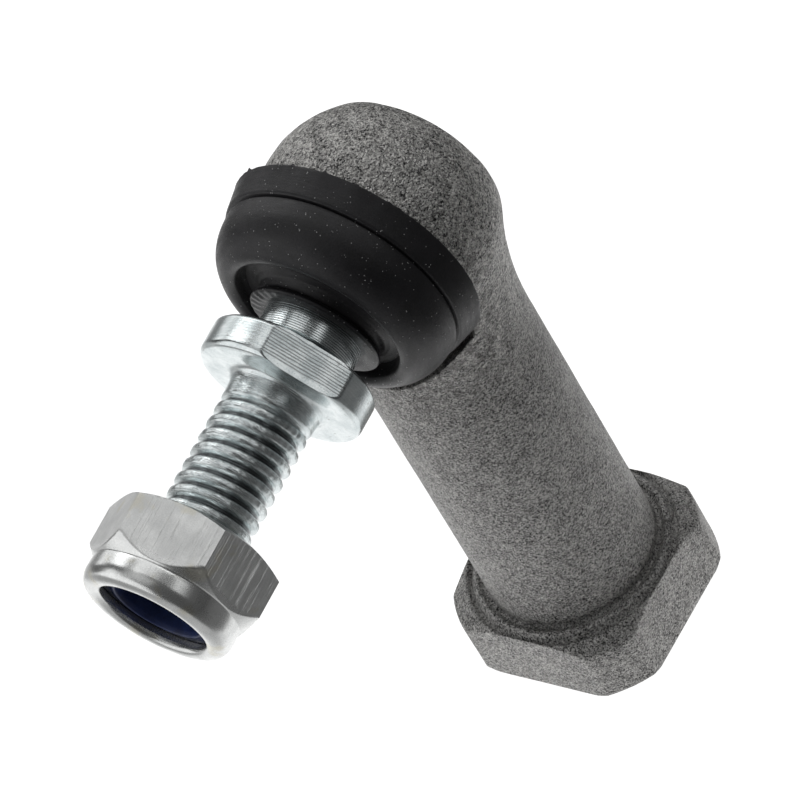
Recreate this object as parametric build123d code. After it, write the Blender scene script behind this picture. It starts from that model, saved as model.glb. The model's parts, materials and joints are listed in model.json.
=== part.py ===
"""Small tie rod end: forged housing, ball stud in a booted ball joint, nylon-insert lock nut.

Frame: +Z runs up the shank from the mouth of the rod thread, which is the origin, to the head.
+X runs out of the head's mouth towards the stud. The stud rests slightly tilted in its ball joint.
All sizes are in millimetres.
"""
from build123d import *
from math import cos, radians, sin, sqrt
import os

# ---- driving dimensions -------------------------------------------------------------------
BALL_HEIGHT = 38.7          # head's axis above the end face
HEAD_HEIGHT = 38.4          # centre of the ball-shaped head
HEAD_R = 7.7
BACK_FLAT_X = -5.4          # soft flat forged on the back of the head
BACK_RUNOUT_Z = 30.0
BACK_RUNOUT_R = 10.0
BACK_EDGE_R = 1.2
SHANK_R = 5.8
SHANK_FLARE_R = 30.0        # long hollow curve where the shank widens to the head
END_ACROSS_FLATS = 14.0     # square spanner end
END_CORNER_R = 8.4          # its corners are turned round
END_HEIGHT = 5.0
END_EDGE = 0.4
END_DISH_R0 = 6.55          # shallow ring turned into the face towards the shank
END_DISH_R1 = 6.95
END_DISH_DEPTH = 0.25

ROD_TAP_R = 2.5             # wall of the tapped hole for the M6 rod
ROD_THREAD_DEPTH = 18.0
ROD_DRILL_POINT = 1.5
ROD_MOUTH_CHAMFER = 0.5

BALL_X = 1.3                # ball centre, out from the shank's axis
BALL_R = 4.5
FIT = 0.02                  # play of parts that are pressed or snapped in
LINER_GAP = 0.03
LINER_R = 5.2
LINER_FRONT_ANGLE = 52.0    # half angles of the liner's two openings, from the head's axis
LINER_BACK_ANGLE = 35.0
CAVITY_R = 5.25

MOUTH_X = 4.1               # housing mouth, from the ball centre
BOSS_R = 7.2                # seat of the boot's rim
BOSS_END_X = 2.9
NOSE_R = 6.3
SHOULDER_R = 8.65           # shoulder turned into the shank below the boot's rim
SHOULDER_X = 0.85
SEAT_RING_X0 = 1.7
SEAT_RING_X1 = 3.2
RETAINER_X0 = 3.22
RETAINER_X1 = 3.72
RETAINER_R = 5.5
RETAINER_BORE_R = 4.5
RETAINER_GAP = 1.6          # split of the ring, at its top
MOUTH_FLARE = 0.25

STUD_YAW = -2.6             # rest tilt of the stud, about Z
STUD_PITCH = 6.1            # and about its own Y, nose down towards the spanner end
NECK_R = 2.3
SLEEVE_R = 2.6              # where the boot's neck sits
SLEEVE_X = 5.2
COLLAR_R = 3.2
COLLAR_X = 6.4
COLLAR_GROOVES = 9
UNDERCUT_X = 8.1
UNDERCUT_R = 2.7
FLANGE_X = 8.8
FLANGE_R = 5.45
FLANGE_ACROSS_FLATS = 9.4   # two milled spanner flats
FLANGE_FLAT_TURN = 44.8
FLANGE_TOP_EDGE = 0.3
FLANGE_SEAT_EDGE = 0.3
FLANGE_SEAT_R = 5.1
FLANGE_SEAT_X = 11.2
THREAD_X = 13.0
THREAD_R = 2.94
RELIEF_R = 2.7              # rolled thread's blank
SEAT_ROOT_R = 3.05          # fillet between the seat face and the relief
SEAT_ROOT_LENGTH = 0.35
STUD_END_X = 24.6

NUT_X = 21.3                # bearing face of the nut, from the ball centre
NUT_ACROSS_FLATS = 10.0
NUT_TURN = 39.3
NUT_BORE_R = 3.0
NUT_FACE_R = 4.75
NUT_HEIGHT = 6.0
NUT_CORNER_TOP = 3.2        # height where the hexagon's corners start to be turned off
NUT_COLLAR_R = 4.95
NUT_OPENING_R = 3.55
INSERT_X0 = 4.0             # from the bearing face
INSERT_X1 = 5.5
INSERT_R = 4.2
INSERT_BORE_R = 2.98

RIM_X0 = 0.9                # boot's rim band, from the ball centre
RIM_R0 = 8.38
RIM_X1 = 2.6
RIM_R1 = 8.2
GROOVE_X = 2.9
GROOVE_R = 7.74
BOWL_X = 4.6
BOWL_R = 7.4
CREST_X = 6.2
CREST_R = 6.3
ROLL_IN_R = 5.6
RECESS_X = 5.0
RECESS_R = 4.3
BOOT_WALL = 0.9
NECK_RING_X0 = 5.78
NECK_RING_X1 = 6.15
NECK_RING_R0 = 3.32
NECK_RING_R1 = 3.7
LIP_X0 = 6.2
LIP_X1 = 6.38
LIP_R = 4.35

SQRT3 = sqrt(3)

head_place = Location((0, 0, HEAD_HEIGHT))
ball_place = Location((BALL_X, 0, BALL_HEIGHT))
stud_place = ball_place * Rotation(0, 0, STUD_YAW) * Rotation(0, STUD_PITCH, 0)


# ---- helpers ------------------------------------------------------------------------------
def turned(*outline):
    """Body of revolution about X, from (x, radius) points of one half section."""
    points = [(x, r, 0) for x, r in outline]
    section = make_face(Polyline(*points, close=True))
    return revolve(section, Axis.X, 360)


def turned_arcs(build_section):
    """Body of revolution about X, from a function that draws the half section's outline."""
    with BuildSketch(Plane.XY) as sketch:
        with BuildLine():
            build_section()
        make_face()
    return revolve(sketch.sketch, Axis.X, 360)


def bar_x(radius, x0, x1):
    """Round bar along X from x0 to x1."""
    return Location((x0, 0, 0), (0, 90, 0)) * extrude(Circle(radius), x1 - x0)


def bar_z(radius, z0, z1):
    """Round bar along Z from z0 to z1."""
    return Location((0, 0, z0)) * extrude(Circle(radius), z1 - z0)


def hexagon_x(across_flats, turn, x0, x1):
    """Hexagonal bar along X, with a corner at the angle turn from +Y towards +Z."""
    outline = RegularPolygon(across_flats / SQRT3, 6)
    bar = extrude(Plane.YZ * Rotation(0, 0, turn) * outline, x1 - x0)
    return Location((x0, 0, 0)) * bar


def on_circle(radius, angle):
    """Point (x, r) of a half section at an angle from the +X axis."""
    return (radius * cos(radians(angle)), radius * sin(radians(angle)))


# ---- housing ------------------------------------------------------------------------------
def head_blank():
    """Ball-shaped head with its soft back flat, cut square where the boot's rim starts."""
    ball = Sphere(HEAD_R)
    back = Location((BACK_FLAT_X - HEAD_R, 0, 0)) * Box(2 * HEAD_R, 4 * HEAD_R, 4 * HEAD_R)
    ball = ball - back
    flat_edge = ball.edges().filter_by(GeomType.CIRCLE).sort_by(Axis.X)[0]
    ball = fillet(flat_edge, BACK_EDGE_R)
    front = Location((BALL_X + SHOULDER_X + HEAD_R, 0, 0)) * Box(2 * HEAD_R, 4 * HEAD_R, 4 * HEAD_R)
    return ball - front


def spanner_end():
    """Square end with turned corners, the round face towards the shank slightly dished."""
    square = extrude(Rectangle(END_ACROSS_FLATS, END_ACROSS_FLATS), END_HEIGHT)
    disc = bar_z(END_CORNER_R, 0, END_HEIGHT)
    disc = chamfer(disc.edges().filter_by(GeomType.CIRCLE), END_EDGE)
    block = square & disc
    dish = bar_z(END_DISH_R1, END_HEIGHT - END_DISH_DEPTH, END_HEIGHT) - bar_z(END_DISH_R0, 0, END_HEIGHT)
    return block - dish


def shank():
    """Round shank that flares into the head on an arc tangent to both."""
    reach = HEAD_R + SHANK_FLARE_R
    arc_r = SHANK_R + SHANK_FLARE_R
    drop = sqrt(reach ** 2 - arc_r ** 2)
    start = (HEAD_R * arc_r / reach, HEAD_HEIGHT - HEAD_R * drop / reach)
    end = (SHANK_R, HEAD_HEIGHT - drop)
    middle_z = (start[1] + end[1]) / 2
    middle = (arc_r - sqrt(SHANK_FLARE_R ** 2 - (middle_z - end[1]) ** 2), middle_z)
    with BuildSketch(Plane.XZ) as sketch:
        with BuildLine():
            ThreePointArc(start, middle, end)
            Polyline(end, (SHANK_R, 0), (0, 0), (0, start[1]), start)
        make_face()
    return revolve(sketch.sketch, Axis.Z, 360)


def nose():
    """Turned nose of the head, which carries the boot's rim."""
    return turned((0, 0), (0, BOSS_R), (BOSS_END_X - 0.6, BOSS_R), (BOSS_END_X, NOSE_R + 0.3),
                  (MOUTH_X - 0.3, NOSE_R), (MOUTH_X, NOSE_R - 0.3), (MOUTH_X, 0))


def ball_cavity():
    """Spherical seat, straight bore to the mouth and the groove of the retaining ring."""
    bore = bar_x(CAVITY_R, 0, MOUTH_X + 1)
    groove = bar_x(RETAINER_R + FIT, RETAINER_X0 - FIT, RETAINER_X1 + FIT)
    mouth = MOUTH_X - MOUTH_FLARE
    flare_r = CAVITY_R + MOUTH_FLARE
    flare = turned((mouth, 0), (mouth, CAVITY_R), (MOUTH_X, flare_r), (MOUTH_X + 1, flare_r), (MOUTH_X + 1, 0))
    return Sphere(CAVITY_R) + bore + groove + flare


def rod_hole():
    """Blind tapped hole for the tie rod, with its mouth chamfer and drill point."""
    hole = bar_z(ROD_TAP_R, 0, ROD_THREAD_DEPTH)
    mouth_r = ROD_TAP_R + ROD_MOUTH_CHAMFER
    countersink = Location((0, 0, ROD_MOUTH_CHAMFER / 2)) * Cone(mouth_r, ROD_TAP_R, ROD_MOUTH_CHAMFER)
    tip_r = 0.1 * ROD_TAP_R
    point = Location((0, 0, ROD_THREAD_DEPTH + ROD_DRILL_POINT / 2)) * Cone(ROD_TAP_R, tip_r, ROD_DRILL_POINT)
    return hole + countersink + point


def back_relief():
    """Room behind the head's back flat, which runs out in an arc down the shank's flare."""
    above = Location((BACK_FLAT_X - HEAD_R, 0, BACK_RUNOUT_Z + HEAD_R)) * Box(2 * HEAD_R, 4 * HEAD_R, 2 * HEAD_R)
    runout = Location((BACK_FLAT_X - BACK_RUNOUT_R, 0, BACK_RUNOUT_Z), (90, 0, 0)) * Cylinder(
        BACK_RUNOUT_R, 4 * HEAD_R)
    return above + runout


def housing():
    body = head_place * head_blank() + shank() - back_relief()
    shoulder = bar_x(SHOULDER_R, SHOULDER_X, 3 * HEAD_R)
    body = body - ball_place * shoulder + ball_place * nose() + spanner_end()
    return body - ball_place * ball_cavity() - rod_hole()


# ---- ball joint ---------------------------------------------------------------------------
def ball_liner():
    """Acetal shell between the ball and the cavity, open at the front and the back."""
    inner = BALL_R + LINER_GAP

    def section():
        front_in = on_circle(inner, LINER_FRONT_ANGLE)
        front_out = on_circle(LINER_R, LINER_FRONT_ANGLE)
        back_in = on_circle(inner, 180 - LINER_BACK_ANGLE)
        back_out = on_circle(LINER_R, 180 - LINER_BACK_ANGLE)
        ThreePointArc(front_in, (0, inner), back_in)
        Line(back_in, back_out)
        ThreePointArc(back_out, (0, LINER_R), front_out)
        Line(front_out, front_in)

    return Rotation(0, 0, STUD_YAW) * turned_arcs(section)


def seat_ring():
    """Acetal ring that closes the cavity on the liner's front."""
    hollow_r = LINER_R + 0.04

    def section():
        start = (SEAT_RING_X0, sqrt(hollow_r ** 2 - SEAT_RING_X0 ** 2))
        end = (SEAT_RING_X1, sqrt(hollow_r ** 2 - SEAT_RING_X1 ** 2))
        middle_x = (SEAT_RING_X0 + SEAT_RING_X1) / 2
        middle = (middle_x, sqrt(hollow_r ** 2 - middle_x ** 2))
        ThreePointArc(start, middle, end)
        Polyline(end, (SEAT_RING_X1, CAVITY_R - 0.03), (SEAT_RING_X0, CAVITY_R - 0.03), start)

    return turned_arcs(section)


def retaining_ring():
    """Split steel ring snapped into the groove behind the mouth."""
    ring = bar_x(RETAINER_R, RETAINER_X0, RETAINER_X1)
    ring = ring - bar_x(RETAINER_BORE_R, RETAINER_X0, RETAINER_X1)
    gap = Location((RETAINER_X0, 0, RETAINER_R)) * Box(2, RETAINER_GAP, 3 * (RETAINER_R - RETAINER_BORE_R))
    return ring - gap


# ---- boot ---------------------------------------------------------------------------------
def boot_bowl():
    """Rim band and bowl, rolled in at the front to a deep ring-shaped recess."""
    seat_r = BOSS_R + 0.05
    return turned(
        (RIM_X0, seat_r), (RIM_X0, RIM_R0), (RIM_X1, RIM_R1), (GROOVE_X, GROOVE_R),
        (GROOVE_X + 0.5, GROOVE_R + 0.02), (BOWL_X, BOWL_R), (CREST_X - 0.5, CREST_R + 0.45), (CREST_X, CREST_R),
        (CREST_X, ROLL_IN_R + 0.2), (CREST_X - 0.3, ROLL_IN_R), (RECESS_X, RECESS_R + 0.3),
        (RECESS_X, RECESS_R - 0.6), (RECESS_X - BOOT_WALL, RECESS_R - 0.6),
        (RECESS_X - BOOT_WALL + 0.1, RECESS_R + 0.6), (CREST_X - 1.1, CREST_R - 0.55),
        (BOWL_X - 0.3, NOSE_R + 0.15), (BOSS_END_X + 0.05, NOSE_R + 0.35), (BOSS_END_X - 0.5, seat_r))


def boot_neck():
    """Neck sleeve on the stud, with the groove of the neck ring and the flared lip."""
    inner = SLEEVE_R + 0.03
    root = RECESS_X - BOOT_WALL + 0.15
    return turned(
        (root + 0.5, inner + 0.5), (root, RECESS_R - 0.3), (root + 0.6, RECESS_R),
        (NECK_RING_X0 - 0.03, 3.75), (NECK_RING_X0 - 0.03, NECK_RING_R0 - 0.03),
        (NECK_RING_X1 + 0.03, NECK_RING_R0 - 0.03), (LIP_X0, LIP_R - 0.2),
        (LIP_X0 + 0.1, LIP_R), (LIP_X1, LIP_R), (LIP_X1, inner), (SLEEVE_X + 0.05, inner))


def neck_ring():
    """Closed steel ring in the groove of the boot's neck."""
    ring = bar_x(NECK_RING_R1, NECK_RING_X0, NECK_RING_X1)
    return ring - bar_x(NECK_RING_R0, NECK_RING_X0, NECK_RING_X1)


# ---- stud and nut -------------------------------------------------------------------------
def stud_shaft():
    """Turned stud from the neck to the thread's end, without the flange."""
    groove_pitch = (UNDERCUT_X - COLLAR_X) / COLLAR_GROOVES
    outline = [(0, 0), (0, NECK_R), (SLEEVE_X - 0.3, NECK_R), (SLEEVE_X, SLEEVE_R), (COLLAR_X, SLEEVE_R)]
    for turn in range(COLLAR_GROOVES):
        x = COLLAR_X + turn * groove_pitch
        outline += [(x, COLLAR_R - 0.05), (x + 0.5 * groove_pitch, COLLAR_R)]
    outline += [
        (UNDERCUT_X, COLLAR_R - 0.05), (UNDERCUT_X, UNDERCUT_R), (FLANGE_X + 0.5, UNDERCUT_R),
        (FLANGE_X + 0.5, SEAT_ROOT_R), (FLANGE_SEAT_X, SEAT_ROOT_R),
        (FLANGE_SEAT_X + SEAT_ROOT_LENGTH, RELIEF_R), (THREAD_X - 0.4, RELIEF_R), (THREAD_X, THREAD_R),
        (STUD_END_X - 0.6, THREAD_R), (STUD_END_X, THREAD_R - 0.6), (STUD_END_X, 0)]
    return turned(*outline)


def stud_flange():
    """Turned round flange, its edges chamfered, with two spanner flats across it."""
    blank = turned(
        (FLANGE_X, 0), (FLANGE_X, FLANGE_R - FLANGE_TOP_EDGE), (FLANGE_X + FLANGE_TOP_EDGE, FLANGE_R),
        (FLANGE_SEAT_X - FLANGE_SEAT_EDGE, FLANGE_R), (FLANGE_SEAT_X, FLANGE_SEAT_R), (FLANGE_SEAT_X, 0))
    middle = (FLANGE_X + FLANGE_SEAT_X) / 2
    bar = Box(2 * (FLANGE_SEAT_X - FLANGE_X), FLANGE_ACROSS_FLATS, 4 * FLANGE_R)
    return blank & Location((middle, 0, 0), (FLANGE_FLAT_TURN, 0, 0)) * bar


def ball_stud():
    ball = Sphere(BALL_R) - Location((-BALL_R, 0, 0)) * Box(0.6, 2 * BALL_R, 2 * BALL_R)
    return ball + stud_shaft() + stud_flange()


def lock_nut():
    """Hexagon nut with a rolled collar that holds the nylon ring."""
    corner_r = NUT_ACROSS_FLATS / SQRT3 + 0.05
    mouth_r = NUT_BORE_R + 0.4
    blank = turned(
        (0, mouth_r), (0, NUT_FACE_R), (0.55, corner_r), (NUT_CORNER_TOP, corner_r),
        (NUT_CORNER_TOP + 0.75, NUT_COLLAR_R), (5.0, NUT_COLLAR_R), (5.6, NUT_COLLAR_R - 0.25),
        (5.9, NUT_COLLAR_R - 0.65), (NUT_HEIGHT, NUT_OPENING_R + 0.45), (NUT_HEIGHT - 0.1, NUT_OPENING_R + 0.1),
        (5.7, NUT_OPENING_R), (INSERT_X1 + FIT, NUT_OPENING_R), (INSERT_X1 + FIT, INSERT_R + FIT),
        (INSERT_X0 - FIT, INSERT_R + FIT), (INSERT_X0 - FIT, NUT_BORE_R), (0.4, NUT_BORE_R))
    return blank & hexagon_x(NUT_ACROSS_FLATS, NUT_TURN, -1, NUT_HEIGHT + 1)


def nylon_insert():
    """Nylon ring held in the nut's collar."""
    return bar_x(INSERT_R, INSERT_X0, INSERT_X1) - bar_x(INSERT_BORE_R, INSERT_X0, INSERT_X1)


# ---- assembly -----------------------------------------------------------------------------
def boot():
    """One moulding: the bowl sits square on the head, and the neck follows the stud."""
    neck = ball_place.inverse() * stud_place * boot_neck()
    return ball_place * (boot_bowl() + neck)


def main():
    nut_place = stud_place * Location((NUT_X, 0, 0))
    pieces = {
        "housing": housing(),
        "ball_liner": ball_place * ball_liner(),
        "seat_ring": ball_place * seat_ring(),
        "retaining_ring": ball_place * retaining_ring(),
        "boot": boot(),
        "boot_neck_ring": stud_place * neck_ring(),
        "ball_stud": stud_place * ball_stud(),
        "lock_nut": nut_place * lock_nut(),
        "nylon_insert": nut_place * nylon_insert(),
    }
    os.makedirs("parts", exist_ok=True)
    for name, shape in pieces.items():
        export_step(shape, f"parts/{name}.step")
        print(name, len(shape.solids()), round(shape.volume, 2), shape.is_valid)


main()
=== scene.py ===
"""Looks of a small tie rod end: shot-blasted housing, rubber boot, zinc-plated stud and lock nut.

Units are millimetres until a mesh is made; MM turns them into metres.
"""
import bmesh
import bpy
import json
import math
from mathutils import Matrix, Vector, noise


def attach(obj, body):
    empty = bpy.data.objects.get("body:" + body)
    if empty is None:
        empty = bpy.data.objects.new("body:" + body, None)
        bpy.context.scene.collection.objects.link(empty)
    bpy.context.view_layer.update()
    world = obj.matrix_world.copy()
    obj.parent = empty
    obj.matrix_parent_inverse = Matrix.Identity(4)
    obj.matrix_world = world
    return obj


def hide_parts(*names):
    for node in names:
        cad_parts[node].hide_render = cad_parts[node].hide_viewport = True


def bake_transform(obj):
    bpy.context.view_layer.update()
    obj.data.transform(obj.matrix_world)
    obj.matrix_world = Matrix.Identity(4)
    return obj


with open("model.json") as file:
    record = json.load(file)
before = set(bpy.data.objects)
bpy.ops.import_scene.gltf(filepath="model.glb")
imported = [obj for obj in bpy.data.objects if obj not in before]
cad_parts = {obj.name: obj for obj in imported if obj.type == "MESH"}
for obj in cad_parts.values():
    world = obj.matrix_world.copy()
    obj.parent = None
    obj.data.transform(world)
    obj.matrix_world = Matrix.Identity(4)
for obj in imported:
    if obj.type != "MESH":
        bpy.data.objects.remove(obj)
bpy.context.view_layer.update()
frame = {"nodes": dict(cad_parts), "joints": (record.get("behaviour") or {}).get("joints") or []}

MM = 0.001
TAU = 2 * math.pi

# ---- places taken from the frame ------------------------------------------------------------
joints = {joint["name"]: joint for joint in frame["joints"]}
ball = Vector(joints["stud_spin"]["pos_m"]) / MM
stud_axis = Vector(joints["stud_spin"]["axis"]).normalized()
pitch_axis = Vector(joints["stud_swing_fore_aft"]["axis"]).normalized()
stud_place = Matrix((stud_axis, pitch_axis, stud_axis.cross(pitch_axis))).transposed().to_4x4()
stud_place.translation = ball
head_place = Matrix.Translation(ball)
nut_start = (Vector(joints["nut_turn"]["pos_m"]) / MM - ball).length

# ---- sizes of the visible shapes, in millimetres ----------------------------------------------
END_HALF = 7.0              # square spanner end
END_ROUND_R = 8.4
END_HEIGHT = 5.0
END_EDGE = 0.35             # rounding of the square's edges
SHANK_R = 5.8
FLARE_R = 30.0              # arc from the shank into the head
FOOT_RING_R = 6.42          # raised ring at the shank's foot, with a groove outside it
FOOT_GROOVE_R = 6.95
HEAD_R = 7.7
HEAD_HEIGHT = 38.4
BACK_FLAT_X = -5.4          # flat on the head's back and the arc in which it runs out
BACK_EDGE_R = 1.3
BACK_RUNOUT_Z = 30.0
BACK_RUNOUT_R = 10.0
SHOULDER_R = 8.65           # square cut behind the boot's rim
SHOULDER_X = 0.85
NOSE_R = 7.2                # neck of the head that carries the boot
MOUTH_R = 5.3
MOUTH_DEPTH = 1.5
ROD_HOLE_R = 3.02
ROD_HOLE_MOUTH_R = 3.6
ROD_THREAD_DEPTH = 18.0
ROD_THREAD_START = 0.35
ROD_THREAD_R = 3.06
ROD_THREAD_RELIEF = 0.55

PITCH = 1.0                 # both M6 threads
THREAD_R = 2.94
THREAD_DEPTH = 0.42
THREAD_START = 12.35
THREAD_RISE = 0.9           # length over which the thread grows to its full depth
THREAD_PHASE = 0.1
BALL_R = 4.5
STUD_END = 24.6
TIP_LENGTH = 0.5            # turned end beyond the thread
COLLAR_START = 6.4
COLLAR_END = 8.1
COLLAR_GROOVES = 11
COLLAR_GROOVES_LENGTH = 1.65
COLLAR_R = 3.2
FLANGE_START = 8.8
FLANGE_SEAT = 11.2
FLANGE_R = 5.45
FLANGE_FLATS = 9.4          # two milled flats
FLANGE_TURN = math.radians(44.8)
MILLED_PITCH = 0.19         # cutter marks on the flats

NUT_FLATS = 10.0
NUT_TURN = math.radians(39.3)
NUT_HEXAGON_END = 4.02      # where the rolled collar starts
NUT_BORE_R = 3.04
NUT_THREAD_R = 3.06
NUT_THREAD_START = 0.6
NUT_THREAD_END = 3.9
NUT_THREAD_SHIFT = 0.338    # phase that lines the nut's thread up with the stud's

STUD_SEGMENTS = 240
BOOT_SEGMENTS = 288

# ---- camera and studio: azimuth and elevation in degrees, panels in metres and watts -------------
CAMERA_TARGET = Vector((7.54, 3.14, 31.8))
CAMERA_DIRECTION = (53.81, 45.32)
CAMERA_ROLL = math.radians(-31.6)
CAMERA_DISTANCE = 482.75
CAMERA_LENS = 360
STUDIO_DIM = 0.07
LIGHT_CENTRE = Vector((0.010, 0, 0.022))
LIGHT_DISTANCE = 0.45
LIGHTS = [
    ("upper_right", 104, 42, (0.16, 0.14), 0.055),
    ("top_right", 145, 52, (0.2, 0.2), 0.14),
    ("top", 190, 68, (0.3, 0.28), 0.24),
    ("overhead", 335, 70, (0.32, 0.3), 0.14),
    ("back_left", 236, 42, (0.26, 0.22), 0.36),
    ("back_low", 246, 14, (0.3, 0.16), 0.16),
    ("right_edge", 160, 8, (0.14, 0.26), 0.07),
    ("left", -38, 20, (0.58, 0.44), 0.8),
]


# ---- mesh helpers -----------------------------------------------------------------------------
def new_object(name, verts, faces, place=None, sharp=None):
    """Mesh object from millimetre points, moved to its place and turned into metres."""
    mesh = bpy.data.meshes.new(name)
    place = place or Matrix.Identity(4)
    mesh.from_pydata([(place @ Vector(v)) * MM for v in verts], [], faces)
    mesh.polygons.foreach_set("use_smooth", [True] * len(mesh.polygons))
    if sharp is not None:
        mesh.set_sharp_from_angle(angle=math.radians(sharp))
    obj = bpy.data.objects.new(name, mesh)
    bpy.context.collection.objects.link(obj)
    return obj


def turned_grid(outline, segments, radius_at=None, start=0.0, closed=False):
    """Points and faces of an outline of (x, r) swept round X; radius_at(x, r, angle) may change r."""
    verts, faces = [], []
    for x, r in outline:
        for k in range(segments):
            angle = start + TAU * k / segments
            here_x, here_r = (x, r) if radius_at is None else radius_at(x, r, angle)
            verts.append((here_x, here_r * math.cos(angle), here_r * math.sin(angle)))
    rings = len(outline)
    last = rings if closed else rings - 1
    for i in range(last):
        j = (i + 1) % rings
        for k in range(segments):
            m = (k + 1) % segments
            faces.append((i * segments + k, j * segments + k, j * segments + m, i * segments + m))
    return verts, faces


def dense(outline, step):
    """The outline with its straight runs divided into pieces no longer than step."""
    points = [outline[0]]
    for a, b in zip(outline, outline[1:]):
        parts = max(1, math.ceil(math.dist(a, b) / step))
        for t in range(1, parts + 1):
            points.append((a[0] + (b[0] - a[0]) * t / parts, a[1] + (b[1] - a[1]) * t / parts))
    return points


def rounded(outline, radius, steps=5):
    """The outline with each inner corner replaced by a short curve of about that radius."""
    points = [outline[0]]
    for before, corner, after in zip(outline, outline[1:], outline[2:]):
        near = min(radius, math.dist(before, corner) / 2.05)
        far = min(radius, math.dist(corner, after) / 2.05)
        start = Vector(corner).lerp(Vector(before), near / max(math.dist(before, corner), 1e-9))
        end = Vector(corner).lerp(Vector(after), far / max(math.dist(corner, after), 1e-9))
        for t in range(steps + 1):
            u = t / steps
            points.append(tuple(start * (1 - u) ** 2 + Vector(corner) * 2 * u * (1 - u) + end * u ** 2))
    points.append(outline[-1])
    return points


def hexagon_limit(angle, across_flats, turn):
    """Distance from the axis to a hexagon's flat in that direction, with a corner at turn."""
    from_flat = (angle - turn) % (math.pi / 3) - math.pi / 6
    return across_flats / 2 / math.cos(from_flat)


def smooth_step(value, low, high):
    t = min(1.0, max(0.0, (value - low) / (high - low)))
    return t * t * (3 - 2 * t)


def polar(radius, angle):
    return radius * math.cos(angle), radius * math.sin(angle)


def thread_profile():
    """Phase and depth of one turn of a metric thread, 0 at the crest and 1 at the root."""
    falling = [(0.1, 0.02), (0.17, 0.06), (0.23, 0.16), (0.29, 0.36), (0.35, 0.66), (0.4, 0.88), (0.45, 0.98)]
    return [(0.0, 0.0)] + falling + [(1 - phase, cut) for phase, cut in reversed(falling)]


def thread_surface(start_x, end_x, segments, turn, radius_at):
    """Points and faces of a right-handed thread whose rows of points follow the helix.

    Rows are clamped to start_x and end_x, so both ends close on a plain ring.
    """
    profile = thread_profile()
    per_turn = len(profile)
    turns = math.ceil((end_x - start_x) / PITCH) + 1
    rows = per_turn * turns + 1
    verts = []
    for row in range(rows):
        phase, cut = profile[row % per_turn]
        row_x = start_x + PITCH * (row // per_turn + phase - 1)
        for k in range(segments):
            x = min(end_x, max(start_x, row_x + PITCH * k / segments))
            angle = turn + TAU * k / segments
            verts.append((x, *polar(radius_at(x, cut, angle), angle)))
    faces = []
    for row in range(rows - 1):
        for k in range(segments - 1):
            a = row * segments + k
            faces.append((a, a + segments, a + segments + 1, a + 1))
        over = (row + per_turn) * segments
        if over + segments < rows * segments:
            a = row * segments + segments - 1
            faces.append((a, a + segments, over + segments, over))
    return verts, faces


# ---- stud -------------------------------------------------------------------------------------
def stud_outline():
    """Turned outline from the ball's back to the thread's start."""
    flat_back = [(-4.2, 0.001), (-4.2, 1.6)]
    sphere_angles = [math.radians(a) for a in range(156, 30, -4)]
    sphere = [(BALL_R * math.cos(a), BALL_R * math.sin(a)) for a in sphere_angles]
    neck = [(3.87, 2.3), (4.9, 2.3), (5.2, 2.6), (6.35, 2.6)]
    collar = [(COLLAR_START - 0.02, COLLAR_R - 0.12), (COLLAR_START, COLLAR_R), (7.0, COLLAR_R + 0.02),
              (COLLAR_END - 0.05, COLLAR_R), (COLLAR_END, COLLAR_R - 0.3)]
    undercut = [(COLLAR_END + 0.04, 2.8), (FLANGE_START - 0.1, 2.78), (FLANGE_START, 2.85)]
    rim = rounded([(FLANGE_START, 4.9), (FLANGE_START + 0.02, 5.2), (FLANGE_START + 0.24, FLANGE_R),
                   (FLANGE_SEAT - 0.34, FLANGE_R), (FLANGE_SEAT - 0.08, 5.25), (FLANGE_SEAT, 4.9),
                   (FLANGE_SEAT, 4.6)], 0.12, 4)
    relief = rounded([(FLANGE_SEAT, 4.4), (FLANGE_SEAT, 3.7), (FLANGE_SEAT + 0.1, 3.3),
                      (FLANGE_SEAT + 0.35, 3.04), (FLANGE_SEAT + 0.7, 2.95), (THREAD_START - 0.05, THREAD_R)],
                     0.2, 4)
    return (flat_back + sphere + neck + collar + undercut + dense(rim, 0.06) + relief
            + [(THREAD_START, THREAD_R)])


def stud_radius(x, r, angle):
    """Cuts the flange's two flats."""
    in_flange = FLANGE_START - 0.02 < x < FLANGE_SEAT + 0.02 and r > 4.5
    if not in_flange:
        return x, r
    from_flat = (angle - FLANGE_TURN + math.pi / 2) % math.pi - math.pi / 2
    return x, min(r, FLANGE_FLATS / 2 / max(0.2, math.cos(from_flat)))


def stud_thread_radius(x, cut, angle):
    """Rolled thread, rising from the relief and slightly ragged along its crest."""
    grown = smooth_step(x, THREAD_START, THREAD_START + THREAD_RISE)
    faded = smooth_step(x, STUD_END - 0.9, STUD_END - 0.45)
    around = Vector((x * 1.5, 9 * math.cos(angle), 9 * math.sin(angle)))
    ragged = (0.025 * noise.noise(around) - 0.01) * grown * (1 - faded)
    crest = THREAD_R + 0.02 * grown - 0.2 * faded + ragged
    root = THREAD_R - THREAD_DEPTH * grown
    return crest * (1 - cut) + root * cut


def make_stud():
    body = turned_grid(stud_outline(), STUD_SEGMENTS, stud_radius, start=FLANGE_TURN)
    thread_end = STUD_END - TIP_LENGTH
    thread = thread_surface(THREAD_START, thread_end, STUD_SEGMENTS, FLANGE_TURN - TAU * THREAD_PHASE,
                            stud_thread_radius)
    tip = turned_grid([(thread_end, 2.56), (STUD_END - 0.25, 2.4), (STUD_END, 2.15), (STUD_END, 0.001)],
                      STUD_SEGMENTS)
    verts, faces = [], []
    for more_verts, more_faces in (body, thread, tip):
        first = len(verts)
        verts += more_verts
        faces += [tuple(first + index for index in face) for face in more_faces]
    obj = new_object("stud", verts, faces, stud_place, sharp=34)
    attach(obj, "stud")
    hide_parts("ball_stud")
    return obj


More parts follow.
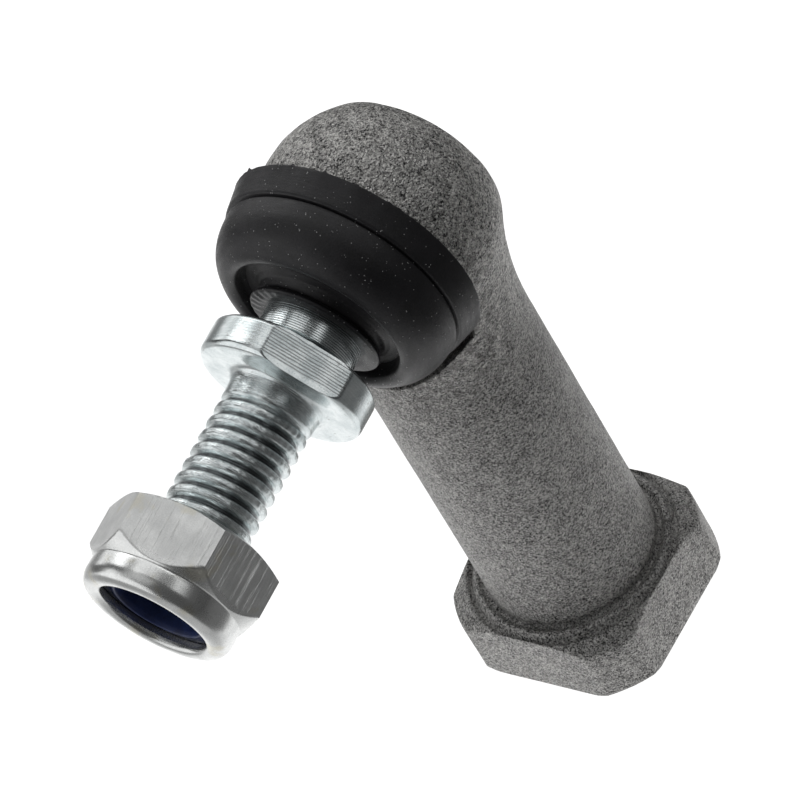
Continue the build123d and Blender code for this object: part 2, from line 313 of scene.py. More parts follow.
# ---- lock nut ---------------------------------------------------------------------------------
def nut_outline():
    face = [(0.12, 3.35), (0.0, 3.5), (0.0, 4.0), (0.0, 4.66), (0.03, 4.78)]
    corner = NUT_FLATS / math.sqrt(3) + 0.03
    flats = dense([(0.06, 4.84), (0.55, corner), (3.05, corner), (NUT_HEXAGON_END, 5.0)], 0.05)
    collar = rounded([(NUT_HEXAGON_END, 5.0), (4.12, 4.9), (4.3, 4.93), (5.2, 4.95), (5.75, 4.72), (6.0, 4.2),
                      (5.98, 3.8), (5.8, 3.58), (5.52, 3.55)], 0.25, 6)
    pocket = [(5.5, 3.7), (5.5, 4.15), (4.0, 4.15), (3.98, 3.1)]
    bore = dense([(NUT_THREAD_END, NUT_BORE_R), (NUT_THREAD_START, NUT_BORE_R)], 0.06)
    return face + flats + collar + pocket + bore


def nut_radius(x, r, angle):
    """Cuts the hexagon and the internal thread."""
    if x < NUT_HEXAGON_END + 0.03 and r > 4.7:
        return x, min(r, hexagon_limit(angle, NUT_FLATS, NUT_TURN))
    if NUT_THREAD_START - 0.02 < x < NUT_THREAD_END + 0.02 and r < 3.1:
        turns = x / PITCH - angle / TAU - NUT_THREAD_SHIFT + nut_start
        height = 0.06 * smooth_step(x, NUT_THREAD_START - 0.02, 0.9)
        return x, NUT_THREAD_R - height * (0.5 + 0.5 * math.cos(TAU * turns))
    return x, r


def make_nut():
    place = stud_place @ Matrix.Translation((nut_start, 0, 0))
    verts, faces = turned_grid(nut_outline(), STUD_SEGMENTS, nut_radius, start=NUT_TURN, closed=True)
    nut = new_object("nut", verts, faces, place, sharp=28)
    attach(nut, "nut")
    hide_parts("lock_nut")
    insert = rounded([(4.05, 4.1), (4.95, 4.1), (4.95, 3.25), (5.2, 3.12), (5.25, 2.9), (4.9, 2.82),
                      (4.05, 2.8), (4.05, 4.1)], 0.12, 4)
    verts, faces = turned_grid(insert, 160)
    ring = new_object("nut_insert", verts, faces, place, sharp=40)
    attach(ring, "nut_ring")
    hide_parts("nylon_insert")
    return nut, ring


# ---- boot -------------------------------------------------------------------------------------
SEAM_WALL = (5.2, 5.32)     # where the bowl's inner wall meets the membrane
SEAM_NECK = (5.75, 4.12)    # where the membrane meets the neck
BOWL_FOLLOW = 0.22          # share of the stud's tilt that the bowl's inner wall takes up


def boot_bend(point, follow):
    """A boot point that follows the tilted stud by that share; the rest stays square on the head."""
    square = head_place @ Vector(point)
    tilted = stud_place @ Vector(point)
    return square.lerp(tilted, follow)


def boot_piece(name, outline, follow, detail=None):
    """Turned rubber shell; follow(share along the outline) bends it and detail adds small relief."""
    verts, faces = turned_grid(outline, BOOT_SEGMENTS)
    made = []
    for index, point in enumerate(verts):
        ring, step = divmod(index, BOOT_SEGMENTS)
        place = boot_bend(point, follow(ring / (len(outline) - 1)))
        if detail is not None:
            place = place + detail(point, TAU * step / BOOT_SEGMENTS)
        made.append(place)
    obj = new_object(name, made, faces, sharp=50)
    return obj


def bowl_outline():
    rim = rounded([(1.3, 7.22), (0.92, 7.3), (0.9, 8.3), (1.0, 8.39), (2.7, 8.06), (2.84, 7.98), (2.87, 7.72)],
                  0.07, 4)
    line = rounded([(2.87, 7.72), (2.9, 7.68), (2.96, 7.7), (3.0, 7.84)], 0.04, 3)
    bowl = rounded([(3.0, 7.84), (3.2, 7.88), (4.3, 7.78), (5.35, 7.35), (6.12, 6.6), (6.35, 6.05), (6.2, 5.62),
                    (5.75, 5.5), (5.45, 5.44), SEAM_WALL], 0.9, 10)
    return dense(rim[:12], 0.08) + rim[12:] + line[1:] + dense(bowl[1:], 0.12)


def ring_noise(angle, scale, seed):
    """Noise that closes on itself round the boot."""
    return noise.noise(Vector((scale * math.cos(angle), scale * math.sin(angle), seed)))


def rim_flash(point, angle):
    """Thin ragged moulding flash on the rim's edge towards the head, and faint sag of the bowl."""
    x = point[0]
    out = Vector((0, math.cos(angle), math.sin(angle)))
    ripple = ring_noise(angle, 9, 0.3) + 0.6 * ring_noise(angle, 31, 1.7)
    torn = max(0.0, ring_noise(angle, 23, 5.1) - 0.34)
    near_edge = max(0.0, 1 - abs(x - 0.95) / 0.12)
    sag = 0.03 * noise.noise(Vector((x * 0.5, 2 * math.cos(angle), 2 * math.sin(angle))))
    flash = near_edge * (0.03 + 0.04 * ripple + 0.3 * torn)
    return out * (flash + sag) + Vector((-0.55 * near_edge * torn, 0, 0))


def lip_creases(point, angle):
    """Short radial creases on one side of the flared lip."""
    x, y, z = point
    side = max(0.0, math.cos(angle - math.radians(141)))
    near_lip = smooth_step(x, 6.1, 6.3) * smooth_step(math.hypot(y, z), 3.2, 4.2)
    wave = math.sin(angle * 34) * 0.035 + 0.02 * ring_noise(angle, 7, 4)
    return stud_axis * (wave * side ** 4 * near_lip)


def make_boot():
    bowl = boot_piece("boot_bowl", bowl_outline(), lambda t: BOWL_FOLLOW * smooth_step(t, 0.35, 0.8), rim_flash)
    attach(bowl, "housing")
    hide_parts("boot")
    sheet = dense([SEAM_WALL, (5.24, 4.95), (5.34, 4.55), (5.5, 4.25), SEAM_NECK], 0.1)
    membrane = boot_piece("boot_membrane", sheet,
                          lambda t: BOWL_FOLLOW + (1 - BOWL_FOLLOW) * smooth_step(t, 0, 1))
    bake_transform(membrane)
    neck = rounded([SEAM_NECK, (5.9, 4.04), (6.06, 4.02), (6.14, 4.06), (6.28, 4.34), (6.45, 4.4), (6.58, 4.28),
                    (6.62, 3.7), (6.5, 3.2), (6.3, 2.62)], 0.12, 5)
    lip = boot_piece("boot_neck", neck, lambda t: 1.0, lip_creases)
    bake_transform(lip)
    return bowl, membrane, lip


# ---- housing ----------------------------------------------------------------------------------
def solid_of_revolution(name, outline, axis, segments=192):
    """Closed mesh in millimetre units from an outline that starts and ends on the axis."""
    verts, faces = turned_grid(outline, segments)
    faces = [tuple(reversed(f)) for f in faces]
    if axis == "Z":
        verts = [(y, z, x) for x, y, z in verts]
    mesh = bpy.data.meshes.new(name)
    mesh.from_pydata(verts, [], faces)
    obj = bpy.data.objects.new(name, mesh)
    bpy.context.collection.objects.link(obj)
    with_bmesh(obj, lambda bm: (bmesh.ops.remove_doubles(bm, verts=bm.verts, dist=0.0005),
                                bmesh.ops.recalc_face_normals(bm, faces=bm.faces)))
    return obj


def with_bmesh(obj, action):
    bm = bmesh.new()
    bm.from_mesh(obj.data)
    action(bm)
    bm.to_mesh(obj.data)
    bm.free()


def combine(target, tool, operation):
    """Boolean of two closed meshes; the tool is used up."""
    step = target.modifiers.new("combine", "BOOLEAN")
    step.operation = operation
    step.object = tool
    step.solver = "EXACT"
    apply_modifiers(target)
    bpy.data.objects.remove(tool)


def apply_modifiers(obj):
    evaluated = obj.evaluated_get(bpy.context.evaluated_depsgraph_get())
    mesh = bpy.data.meshes.new_from_object(evaluated)
    obj.modifiers.clear()
    obj.data = mesh


def arc(cx, cr, radius, from_deg, to_deg, steps):
    """Points (x, r) on a circular arc of an outline."""
    angles = [math.radians(from_deg + (to_deg - from_deg) * t / steps) for t in range(steps + 1)]
    return [(cx + radius * math.cos(a), cr + radius * math.sin(a)) for a in angles]


def head_solid():
    """Ball-shaped head, cut square at the front, with a faintly domed flat on its back."""
    front = ball.x + SHOULDER_X
    front_angle = math.degrees(math.acos(front / HEAD_R))
    edge_x = BACK_FLAT_X + BACK_EDGE_R
    edge_r = math.sqrt((HEAD_R - BACK_EDGE_R) ** 2 - edge_x ** 2)
    edge_angle = math.degrees(math.atan2(edge_r, edge_x))
    outline = [(front, 0.0), *arc(0, 0, HEAD_R, front_angle, edge_angle, 40),
               *arc(edge_x, edge_r, BACK_EDGE_R, edge_angle, 180, 8)[1:], (BACK_FLAT_X - 0.06, edge_r * 0.5),
               (BACK_FLAT_X - 0.08, 0.0)]
    head = solid_of_revolution("housing_body", outline, "X")
    head.data.transform(Matrix.Translation((0, 0, HEAD_HEIGHT)))
    return head


def shank_solid():
    """Round shank that flares into the head on an arc tangent to both."""
    reach = HEAD_R + FLARE_R
    drop = math.sqrt(reach ** 2 - (SHANK_R + FLARE_R) ** 2)
    low = HEAD_HEIGHT - drop
    turn = math.degrees(math.asin(drop / reach))
    flare = arc(low, SHANK_R + FLARE_R, FLARE_R, -90, -90 + turn, 24)
    top = flare[-1][0]
    outline = [(1.0, 0.0), (1.0, SHANK_R), *flare, (top + 1.5, SHANK_R), (top + 1.5, 0.0)]
    return solid_of_revolution("shank", outline, "Z")


def end_solid():
    """Square spanner end with turned corners."""
    top = END_HEIGHT - 0.05
    outline = [(0, 0.0), (0, END_ROUND_R - 0.45), (0.3, END_ROUND_R), (END_HEIGHT - 0.75, END_ROUND_R),
               (END_HEIGHT - 0.3, END_ROUND_R - 0.8), (top, 7.1), (top, 0.0)]
    end = solid_of_revolution("end", outline, "Z")
    bpy.ops.mesh.primitive_cube_add(size=2 * END_HALF)
    square = bpy.context.object
    with_bmesh(square, lambda bm: bmesh.ops.bevel(
        bm, geom=bm.edges[:], offset=END_EDGE, segments=3, profile=0.5, affect="EDGES", clamp_overlap=True))
    square.data.transform(Matrix.Diagonal((1, 1, 2, 1)))
    combine(end, square, "INTERSECT")
    return end


def nose_solid():
    """Neck of the head inside the boot."""
    outline = [(0.2, 0.0), (0.2, NOSE_R), (2.4, NOSE_R), (2.9, 6.6), (3.8, 6.3), (4.1, 6.0), (4.1, 0.0)]
    nose = solid_of_revolution("nose", outline, "X")
    nose.data.transform(head_place)
    return nose


def back_relief():
    """Room behind the head's back flat; it runs out in an arc down the shank's flare."""
    top, reach = 50, 20
    edge = arc(BACK_FLAT_X - BACK_RUNOUT_R, BACK_RUNOUT_Z, BACK_RUNOUT_R, -90, 0, 24)
    outline = [*edge, (BACK_FLAT_X - 0.04, top), (BACK_FLAT_X - BACK_RUNOUT_R, top)]
    sides = [[(x, side, z) for x, z in outline] for side in (-reach, reach)]
    count = len(outline)
    faces = [tuple(range(count)), tuple(range(2 * count - 1, count - 1, -1))]
    faces += [(k, k + count, (k + 1) % count + count, (k + 1) % count) for k in range(count)]
    mesh = bpy.data.meshes.new("back_relief")
    mesh.from_pydata(sides[0] + sides[1], [], faces)
    tool = bpy.data.objects.new("back_relief", mesh)
    bpy.context.collection.objects.link(tool)
    with_bmesh(tool, lambda bm: bmesh.ops.recalc_face_normals(bm, faces=bm.faces))
    return tool


def head_bar(name, radius, x0, x1):
    """Round cutter along X through the ball's centre."""
    bar = solid_of_revolution(name, [(x0, 0.0), (x0, radius), (x1, radius), (x1, 0.0)], "X")
    bar.data.transform(head_place)
    return bar


def ring_relief(p):
    """Height of the raised ring and the groove round the shank's foot."""
    radius = math.hypot(p.x, p.y)
    on_face = 1 - smooth_step(abs(p.z - END_HEIGHT), 0.35, 0.8)
    ring = 0.3 * math.exp(-((radius - FOOT_RING_R) / 0.24) ** 2)
    groove = 0.34 * math.exp(-((radius - FOOT_GROOVE_R) / 0.17) ** 2)
    return (ring - groove) * on_face


def roughen(obj):
    """Turned ring at the shank's foot and faint forged waviness, stronger on the head."""
    mesh = obj.data
    moved = []
    for vertex in mesh.vertices:
        p = vertex.co
        broad = noise.noise(p * 0.35) * 0.05 + noise.noise(p * 1.1 + Vector((7, 3, 1))) * 0.02
        share = 0.35 + 0.65 * smooth_step(p.z, 22, 34)
        up = smooth_step(vertex.normal.z, 0.3, 0.8)
        moved.append(p + vertex.normal * broad * share + Vector((0, 0, ring_relief(p) * up)))
    for vertex, place in zip(mesh.vertices, moved):
        vertex.co = place


def rod_hole_tool():
    drill_point = ROD_THREAD_DEPTH + 1.6
    outline = [(-1, 0.0), (-1, ROD_HOLE_MOUTH_R), (0, ROD_HOLE_MOUTH_R - 0.1), (0.5, ROD_HOLE_R),
               (ROD_THREAD_DEPTH, ROD_HOLE_R), (drill_point, 0.0)]
    return solid_of_revolution("rod_hole", outline, "Z")


def make_housing():
    body = head_solid()
    combine(body, shank_solid(), "UNION")
    combine(body, back_relief(), "DIFFERENCE")
    combine(body, head_bar("shoulder", SHOULDER_R, SHOULDER_X, 20), "DIFFERENCE")
    combine(body, end_solid(), "UNION")
    combine(body, nose_solid(), "UNION")
    combine(body, head_bar("cavity", MOUTH_R, -MOUTH_DEPTH, 6), "DIFFERENCE")
    combine(body, rod_hole_tool(), "DIFFERENCE")
    fine = body.modifiers.new("even_out", "REMESH")
    fine.mode = "VOXEL"
    fine.voxel_size = 0.11
    soften = body.modifiers.new("soften", "SMOOTH")
    soften.factor = 0.5
    soften.iterations = 4
    apply_modifiers(body)
    roughen(body)
    body.data.transform(Matrix.Scale(MM, 4))
    body.data.polygons.foreach_set("use_smooth", [True] * len(body.data.polygons))
    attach(body, "housing")
    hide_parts("housing")
    return body


def make_rod_thread():
    """Internal thread of the shank."""
    outline = dense([(ROD_THREAD_START, ROD_THREAD_R), (ROD_THREAD_DEPTH, ROD_THREAD_R)], 0.07)

    def radius(x, r, angle):
        ridge = smooth_step(0.5 + 0.5 * math.cos(TAU * (x / PITCH - angle / TAU)), 0.1, 0.9)
        return x, r - ROD_THREAD_RELIEF * ridge * smooth_step(x, ROD_THREAD_START, 1.0)

    verts, faces = turned_grid(outline, 120, radius)
    verts = [(y, z, x) for x, y, z in verts]
    obj = new_object("rod_thread", verts, [tuple(reversed(f)) for f in faces], sharp=40)
    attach(obj, "housing")
    return obj


# ---- materials --------------------------------------------------------------------------------
class Shader:
    """Small helper that builds a node tree for one procedural material."""

    def __init__(self, name):
        self.material = bpy.data.materials.new(name)
        self.material.use_nodes = True
        self.tree = self.material.node_tree
        self.tree.nodes.clear()
        self.surface = self.node("ShaderNodeBsdfPrincipled")
        output = self.node("ShaderNodeOutputMaterial")
        self.link(self.surface.outputs[0], output.inputs["Surface"])
        self.place = self.node("ShaderNodeTexCoord").outputs["Object"]

    def node(self, kind, **settings):
        made = self.tree.nodes.new(kind)
        for key, value in settings.items():
            setattr(made, key, value)
        return made

    def link(self, source, target):
        self.tree.links.new(source, target)

    def put(self, value, target):
        """Sets a socket to a plain value, or links it to another node's output."""
        if isinstance(value, bpy.types.NodeSocket):
            self.link(value, target)
        else:
            target.default_value = value

    def local(self, place):
        """Coordinates in millimetres along a part's own axes."""
        inverse = place.inverted()
        turn = inverse.to_euler()
        mapped = self.node("ShaderNodeMapping")
        self.link(self.place, mapped.inputs["Vector"])
        mapped.inputs["Scale"].default_value = (1000, 1000, 1000)
        mapped.inputs["Rotation"].default_value = turn
        mapped.inputs["Location"].default_value = inverse.translation
        return mapped.outputs[0]

    def stretched(self, vector, scale):
        """Coordinates scaled by that much along each axis."""
        mapped = self.node("ShaderNodeMapping")
        self.link(vector, mapped.inputs["Vector"])
        mapped.inputs["Scale"].default_value = scale
        return mapped.outputs[0]

    def noise(self, vector, scale, detail=3.0, rough=0.55, distort=0.0):
        """Soft random value; scale is in features per millimetre."""
        made = self.node("ShaderNodeTexNoise")
        self.link(vector, made.inputs["Vector"])
        made.inputs["Scale"].default_value = scale
        made.inputs["Detail"].default_value = detail
        made.inputs["Roughness"].default_value = rough
        made.inputs["Distortion"].default_value = distort
        return made.outputs[0]

    def grains(self, vector, scale):
        """Random shade of each small cell."""
        made = self.node("ShaderNodeTexVoronoi")
        self.link(vector, made.inputs["Vector"])
        made.inputs["Scale"].default_value = scale
        return self.split(made.outputs["Color"])[0]

    def cells(self, vector, scale):
        """Distance to the nearest of many scattered points."""
        made = self.node("ShaderNodeTexVoronoi")
        self.link(vector, made.inputs["Vector"])
        made.inputs["Scale"].default_value = scale
        return made.outputs["Distance"]

    def remap(self, value, low, high, to_low=0.0, to_high=1.0):
        """Value eased from the range low..high onto to_low..to_high, and clamped."""
        made = self.node("ShaderNodeMapRange", interpolation_type="SMOOTHSTEP")
        self.link(value, made.inputs["Value"])
        for name, number in (("From Min", low), ("From Max", high), ("To Min", to_low), ("To Max", to_high)):
            made.inputs[name].default_value = number
        return made.outputs[0]

    def sums(self, *terms):
        """Sum of (output, weight) pairs."""
        total = None
        for value, weight in terms:
            scaled = self.maths("MULTIPLY", value, weight)
            total = scaled if total is None else self.maths("ADD", total, scaled)
        return total

    def maths(self, operation, a, b=0.0):
        made = self.node("ShaderNodeMath", operation=operation)
        self.put(a, made.inputs[0])
        self.put(b, made.inputs[1])
        return made.outputs[0]

    def sine_lines(self, along, pitch, drift, wander):
        """Dark share of cut lines across that axis, one each pitch, wandering a little."""
        phase = self.sums((along, TAU / pitch), (drift, wander))
        return self.remap(self.maths("SINE", phase), 0.45, 0.95)

    def split(self, vector):
        made = self.node("ShaderNodeSeparateXYZ")
        self.link(vector, made.inputs[0])
        return made.outputs

    def tint(self, share, low, high):
        """Colour that runs from low to high with share."""
        ramp = self.node("ShaderNodeValToRGB")
        ramp.color_ramp.elements[0].color = (*low, 1)
        ramp.color_ramp.elements[1].color = (*high, 1)
        self.link(share, ramp.inputs[0])
        return ramp.outputs[0]

    def blend(self, share, low, high, mode="MIX"):
        made = self.node("ShaderNodeMix", data_type="RGBA", blend_type=mode)
        self.put(share, made.inputs["Factor"])
        self.put(low, made.inputs["A"])
        self.put(high, made.inputs["B"])
        return made.outputs["Result"]

    def band(self, value, start, full, fall, end):
        """1 between full and fall, easing to 0 at start and end."""
        return self.maths("MULTIPLY", self.remap(value, start, full), self.remap(value, fall, end, 1.0, 0.0))

    def bump(self, height, distance):
        """Relief of that many millimetres."""
        made = self.node("ShaderNodeBump")
        made.inputs["Strength"].default_value = 1.0
        made.inputs["Distance"].default_value = distance * MM
        self.link(height, made.inputs["Height"])
        self.link(made.outputs[0], self.surface.inputs["Normal"])

    def finish(self, colour, metallic, roughness, **more):
        self.put(colour, self.surface.inputs["Base Color"])
        self.surface.inputs["Metallic"].default_value = metallic
        self.put(roughness, self.surface.inputs["Roughness"])
        for name, value in more.items():
            self.put(value, self.surface.inputs[name.replace("_", " ")])
        return self.material


def housing_material():
    """Shot-blasted forging: fine pitting, soft mottling, a few darker stains and painted shade by the boot."""
    s = Shader("shot_blasted_steel")
    at = s.local(Matrix.Identity(4))
    across, _, height = s.split(at)
    grain = s.remap(s.noise(at, 8.0, 1.5, 0.6), 0.36, 0.64)
    coarse = s.remap(s.noise(at, 4.0, 3, 0.7), 0.36, 0.64)
    pits = s.remap(s.cells(at, 6.0), 0.1, 0.7)
    patches = s.noise(at, 0.9, 4, 0.6, 0.4)
    broad = s.noise(at, 0.25, 2)
    speck = s.grains(at, 11.0)
    on_shank = s.sums((speck, 0.5), (grain, 0.2), (pits, 0.14), (patches, 0.3))
    on_head = s.sums((speck, 0.8), (s.grains(at, 7.0), 0.3), (coarse, 0.35), (patches, 0.9))
    head_share = s.remap(height, 24, 36)
    mixed = s.maths("ADD", s.maths("MULTIPLY", s.maths("ADD", on_head, -0.73), head_share),
                    s.maths("MULTIPLY", s.maths("ADD", on_shank, -0.35), s.maths("SUBTRACT", 1.0, head_share)))
    shade = s.sums((mixed, 1.0), (broad, 0.2))
    colour = s.tint(shade, (0.005, 0.005, 0.005), (0.9, 0.885, 0.86))
    stain = s.remap(s.noise(s.stretched(at, (1, 1, 0.6)), 0.55, 5, 0.6), 0.66, 0.74)
    colour = s.blend(s.maths("MULTIPLY", stain, 0.3), colour, (0.13, 0.10, 0.075, 1))
    # Painted shade: darkens the head and upper shank round the boot's foot on the +X side, broken up by noise.
    under_boot = s.maths("MULTIPLY", s.band(height, 25, 31, 37, 43), s.remap(across, -3, 2))
    painted_boot_shade = s.maths("MULTIPLY", under_boot, s.remap(s.noise(at, 1.6, 4, 0.7), 0.4, 0.62))
    colour = s.blend(s.maths("MULTIPLY", painted_boot_shade, 0.6), colour, (0.05, 0.046, 0.042, 1))
    specks = s.remap(s.cells(at, 1.1), 0.05, 0.09, 1.0, 0.0)
    colour = s.blend(s.maths("MULTIPLY", specks, 0.6), colour, (0.05, 0.045, 0.04, 1))
    s.bump(s.sums((grain, 0.6), (speck, 0.5), (pits, 0.4), (s.noise(at, 2.2, 3), 0.5)), 0.1)
    return s.finish(colour, 0.6, s.remap(grain, 0.0, 1.0, 0.4, 0.6))


def stud_material():
    """Zinc plate over turned steel: turned rings, milled flats, rolled thread, handling marks and painted shade
    in the thread's roots.
    """
    s = Shader("zinc_plated_stud")
    at = s.local(stud_place)
    along, side, up = s.split(at)
    radius = s.maths("SQRT", s.maths("ADD", s.maths("MULTIPLY", side, side), s.maths("MULTIPLY", up, up)))
    on_flange = s.band(along, FLANGE_START + 0.05, FLANGE_START + 0.2, FLANGE_SEAT - 0.5, FLANGE_SEAT - 0.25)
    on_flat = s.remap(radius, FLANGE_R - 0.02, FLANGE_R, 1.0, 0.2)
    on_collar = s.band(along, COLLAR_START - 0.1, COLLAR_START, COLLAR_END - 0.1, COLLAR_END - 0.05)
    on_thread = s.remap(along, FLANGE_SEAT + 0.1, FLANGE_SEAT + 0.4)
    drift = s.noise(s.stretched(at, (1.5, 0.35, 0.35)), 1.0, 3, 0.6)
    milled = s.sine_lines(along, MILLED_PITCH, drift, 9.0)
    turned = s.sine_lines(along, COLLAR_GROOVES_LENGTH / COLLAR_GROOVES, drift, 1.5)
    rolled = s.remap(s.noise(s.stretched(at, (16, 0.6, 0.6)), 1.0, 2, 0.6), 0.35, 0.65)
    fine = s.noise(at, 11, 3, 0.65)
    brushed = s.noise(s.stretched(at, (8, 0.5, 0.5)), 1.0, 3, 0.6)
    cloud = s.noise(at, 0.8, 4)
    shade = s.sums((brushed, 0.25), (fine, 0.3), (cloud, 0.5))
    colour = s.tint(s.remap(shade, 0.3, 0.75), (0.50, 0.56, 0.57), (0.84, 0.88, 0.88))
    grooves = s.sums((s.maths("MULTIPLY", milled, s.maths("MULTIPLY", on_flange, on_flat)), 0.45),
                     (s.maths("MULTIPLY", turned, on_collar), 0.75))
    colour = s.blend(grooves, colour, (0.10, 0.11, 0.12, 1))
    dirt = s.remap(s.noise(at, 2.6, 5, 0.7), 0.62, 0.68)
    colour = s.blend(s.maths("MULTIPLY", dirt, 0.5), colour, (0.16, 0.16, 0.14, 1))
    # Painted shade: darkens the thread's roots from the relief onwards.
    root = s.maths("MULTIPLY", s.remap(radius, 2.52, 2.68, 1.0, 0.0), s.remap(along, 12.3, 13.2))
    colour = s.blend(s.maths("MULTIPLY", root, 0.85), colour, (0.04, 0.045, 0.05, 1))
    thread_marks = s.maths("MULTIPLY", rolled, on_thread)
    s.bump(s.sums((grooves, -0.9), (fine, 0.5), (brushed, 0.4), (thread_marks, 0.7)), 0.014)
    rough = s.remap(shade, 0.3, 0.8, 0.2, 0.11)
    return s.finish(colour, 0.95, s.sums((rough, 1.0), (on_thread, 0.03), (on_flange, 0.06)))


def nut_material():
    """Zinc-plated nut: satin cloud, light scratches along the axis and a faint yellow stain."""
    s = Shader("zinc_plated_nut")
    at = s.local(stud_place)
    along = s.noise(s.stretched(at, (0.08, 9, 9)), 1.0, 3, 0.6)
    scratches = s.remap(along, 0.58, 0.64)
    fine = s.noise(at, 13, 3, 0.65)
    cloud = s.noise(at, 0.7, 4)
    shade = s.sums((along, 0.15), (fine, 0.35), (cloud, 0.5))
    colour = s.tint(s.remap(shade, 0.35, 0.75), (0.64, 0.65, 0.645), (0.9, 0.91, 0.9))
    stain = s.remap(s.noise(at, 0.5, 3), 0.56, 0.68)
    colour = s.blend(s.maths("MULTIPLY", stain, 0.3), colour, (0.66, 0.60, 0.40, 1))
    on_flats = s.remap(s.split(at)[0], nut_start + 3.2, nut_start + 3.8, 1.0, 0.0)
    s.bump(s.sums((s.maths("MULTIPLY", scratches, on_flats), 0.9), (fine, 0.35)), 0.007)
    rough = s.remap(shade, 0.3, 0.8, 0.3, 0.2)
    return s.finish(colour, 0.95, s.sums((rough, 1.0), (on_flats, 0.06)))


def boot_material():
    """Moulded rubber: satin skin, flow marks and light dust."""
    s = Shader("moulded_rubber")
    at = s.local(head_place)
    fine = s.noise(at, 12, 3, 0.7)
    flow = s.noise(s.stretched(at, (2.5, 0.5, 0.5)), 1.1, 4, 0.6)
    cloud = s.noise(at, 0.6, 3)
    shade = s.remap(s.sums((fine, 0.4), (cloud, 0.6)), 0.3, 0.7)
    colour = s.tint(shade, (0.007, 0.007, 0.008), (0.018, 0.017, 0.020))
    small = s.maths("MULTIPLY", s.remap(s.cells(at, 4.2), 0.1, 0.2, 1.0, 0.0),
                    s.remap(s.noise(at, 1.4, 3), 0.52, 0.6))
    large = s.maths("MULTIPLY", s.remap(s.cells(s.stretched(at, (1.3, 1, 1.9)), 1.5), 0.05, 0.08, 1.0, 0.0),
                    s.remap(s.noise(at, 0.8, 2), 0.45, 0.6))
    dust = s.maths("MAXIMUM", small, large)
    bloom = s.remap(s.noise(at, 5, 4, 0.7), 0.62, 0.8)
    colour = s.blend(s.maths("MULTIPLY", dust, 0.85), colour, (0.5, 0.5, 0.5, 1))
    colour = s.blend(s.maths("MULTIPLY", bloom, 0.1), colour, (0.25, 0.25, 0.26, 1))
    s.bump(s.sums((fine, 0.6), (flow, 0.6), (dust, 0.8)), 0.03)
    rough = s.remap(s.sums((flow, 0.6), (fine, 0.4)), 0.3, 0.7, 0.3, 0.5)
    return s.finish(colour, 0.0, rough, Sheen_Weight=0.04, Sheen_Roughness=0.4, Specular_IOR_Level=0.4)


def spring_steel_material():
    """Drawn dark steel of the two rings."""
    s = Shader("dark_spring_steel")
    at = s.local(head_place)
    drawn = s.noise(s.stretched(at, (8, 0.5, 0.5)), 1.2, 4)
    fine = s.noise(at, 10, 3)
    shade = s.sums((drawn, 0.6), (fine, 0.4))
    s.bump(shade, 0.01)
    colour = s.tint(shade, (0.05, 0.05, 0.055), (0.25, 0.25, 0.26))
    return s.finish(colour, 0.9, s.remap(shade, 0.3, 0.7, 0.5, 0.32))


def plastic_material(name, low, high, subsurface):
    """Moulded plastic whose colour drifts between low and high."""
    s = Shader(name)
    at = s.local(head_place)
    fine = s.noise(at, 8, 4, 0.6)
    cloud = s.noise(at, 0.9, 3)
    shade = s.sums((fine, 0.4), (cloud, 0.6))
    s.bump(fine, 0.01)
    return s.finish(s.tint(s.remap(shade, 0.3, 0.7), low, high), 0.0, s.remap(fine, 0.3, 0.7, 0.5, 0.36),
                    Subsurface_Weight=subsurface, Subsurface_Scale=0.001)


# ---- floor, light and camera ------------------------------------------------------------------
def make_floor():
    """Plain floor, white to the eye; only its lit patch round the object shows in the reflections."""
    bpy.ops.mesh.primitive_plane_add(size=6, location=(0, 0, -0.0003))
    floor = bpy.context.object
    floor.name = "floor"
    s = Shader("pale_floor")
    at = s.local(Matrix.Identity(4))
    cloud = s.noise(at, 0.02, 3)
    fine = s.noise(at, 1.5, 3)
    s.bump(fine, 0.02)
    patch = Matrix.Translation((-11, -22, 0)) @ Matrix.Rotation(math.radians(18), 4, "Z")
    across, along, _ = s.split(s.local(patch))
    glow = s.maths("MULTIPLY", s.remap(across, -52, -36), s.remap(across, 38, 70, 1.0, 0.35))
    glow = s.maths("MULTIPLY", glow, s.remap(along, -70, -36, 0.35, 1.0))
    glow = s.maths("MULTIPLY", glow, s.remap(along, 36, 46, 1.0, 0.0))
    glow = s.maths("MAXIMUM", glow, s.node("ShaderNodeLightPath").outputs["Is Camera Ray"])
    colour = s.tint(cloud, (0.25, 0.25, 0.25), (0.30, 0.30, 0.30))
    rough = s.remap(fine, 0.3, 0.7, 0.85, 0.95)
    material = s.finish(colour, 0.0, rough, Emission_Color=(1, 1, 1, 1), Emission_Strength=glow)
    floor.data.materials.append(material)


def direction(azimuth, elevation):
    """Unit vector towards a compass azimuth (0 is +X, 90 is +Y) and a height above the floor."""
    a, e = math.radians(azimuth), math.radians(elevation)
    return Vector((math.cos(e) * math.cos(a), math.cos(e) * math.sin(a), math.sin(e)))


def area_light(name, azimuth, elevation, size, power):
    """Soft panel that shines on the object from that direction."""
    data = bpy.data.lights.new(name, "AREA")
    data.shape = "RECTANGLE"
    data.size, data.size_y = size
    data.energy = power
    lamp = bpy.data.objects.new(name, data)
    bpy.context.collection.objects.link(lamp)
    lamp.location = LIGHT_CENTRE + direction(azimuth, elevation) * LIGHT_DISTANCE
    lamp.rotation_euler = (LIGHT_CENTRE - lamp.location).to_track_quat("-Z", "Y").to_euler()


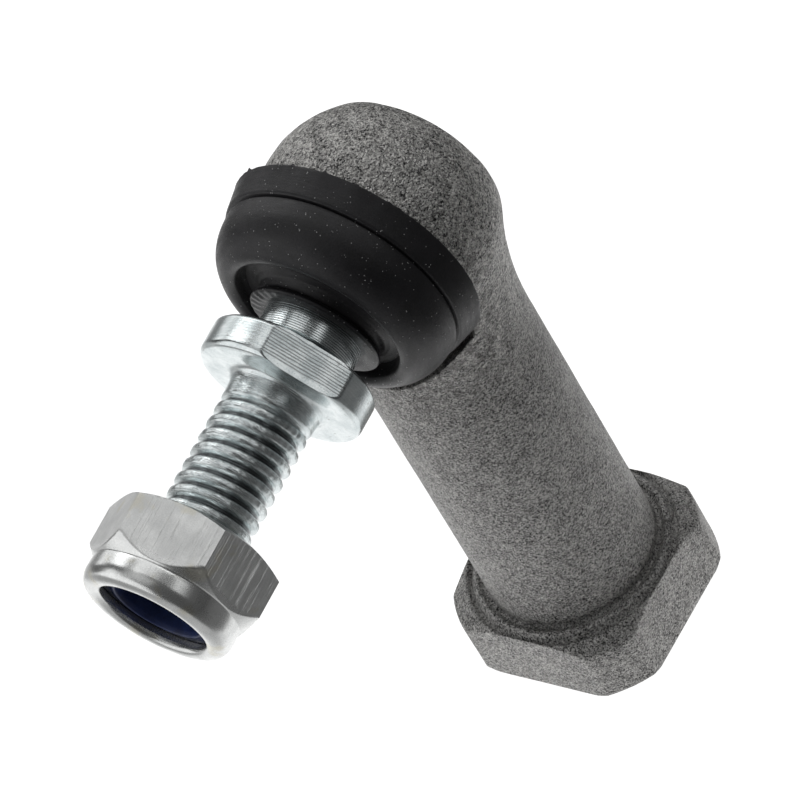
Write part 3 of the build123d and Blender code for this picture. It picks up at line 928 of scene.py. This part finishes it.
def make_world():
    """Dim studio that looks plain white to the eye."""
    world = bpy.data.worlds.new("studio")
    bpy.context.scene.world = world
    world.use_nodes = True
    tree = world.node_tree
    background = tree.nodes["Background"]
    background.inputs["Color"].default_value = (1, 1, 1, 1)
    strength = tree.nodes.new("ShaderNodeMapRange")
    seen = tree.nodes.new("ShaderNodeLightPath").outputs["Is Camera Ray"]
    tree.links.new(seen, strength.inputs["Value"])
    strength.inputs["To Min"].default_value = STUDIO_DIM
    tree.links.new(strength.outputs[0], background.inputs["Strength"])


def make_camera():
    """Long lens, tilted about its own line of sight."""
    back = direction(*CAMERA_DIRECTION)
    right = Vector((0, 0, 1)).cross(back).normalized()
    up = back.cross(right)
    turned_right = right * math.cos(CAMERA_ROLL) + up * math.sin(CAMERA_ROLL)
    turned_up = up * math.cos(CAMERA_ROLL) - right * math.sin(CAMERA_ROLL)
    place = Matrix((turned_right, turned_up, back)).transposed().to_4x4()
    place.translation = CAMERA_TARGET * MM + back * CAMERA_DISTANCE * MM
    data = bpy.data.cameras.new("camera")
    data.sensor_width = 36
    data.lens = CAMERA_LENS
    data.clip_start = 0.01
    camera = bpy.data.objects.new("camera", data)
    camera.matrix_world = place
    bpy.context.collection.objects.link(camera)
    bpy.context.scene.camera = camera


# ---- assembly ---------------------------------------------------------------------------------
stud = make_stud()
nut, nut_insert = make_nut()
boot_parts = make_boot()
body = make_housing()
rod_thread = make_rod_thread()

steel, zinc, zinc_nut = housing_material(), stud_material(), nut_material()
rubber, spring = boot_material(), spring_steel_material()
acetal = plastic_material("acetal", (0.62, 0.62, 0.58), (0.78, 0.78, 0.74), 0.2)
nylon = plastic_material("nylon", (0.008, 0.016, 0.07), (0.02, 0.04, 0.15), 0.0)
looks = [(steel, body, rod_thread), (zinc, stud), (zinc_nut, nut), (nylon, nut_insert), (rubber, *boot_parts),
         (spring, frame["nodes"]["boot_neck_ring"], frame["nodes"]["retaining_ring"]),
         (acetal, frame["nodes"]["ball_liner"], frame["nodes"]["seat_ring"])]
for material, *pieces in looks:
    for piece in pieces:
        piece.data.materials.clear()
        piece.data.materials.append(material)

make_floor()
make_world()
make_camera()
for panel in LIGHTS:
    area_light(*panel)
bpy.context.scene.view_settings.view_transform = "Standard"
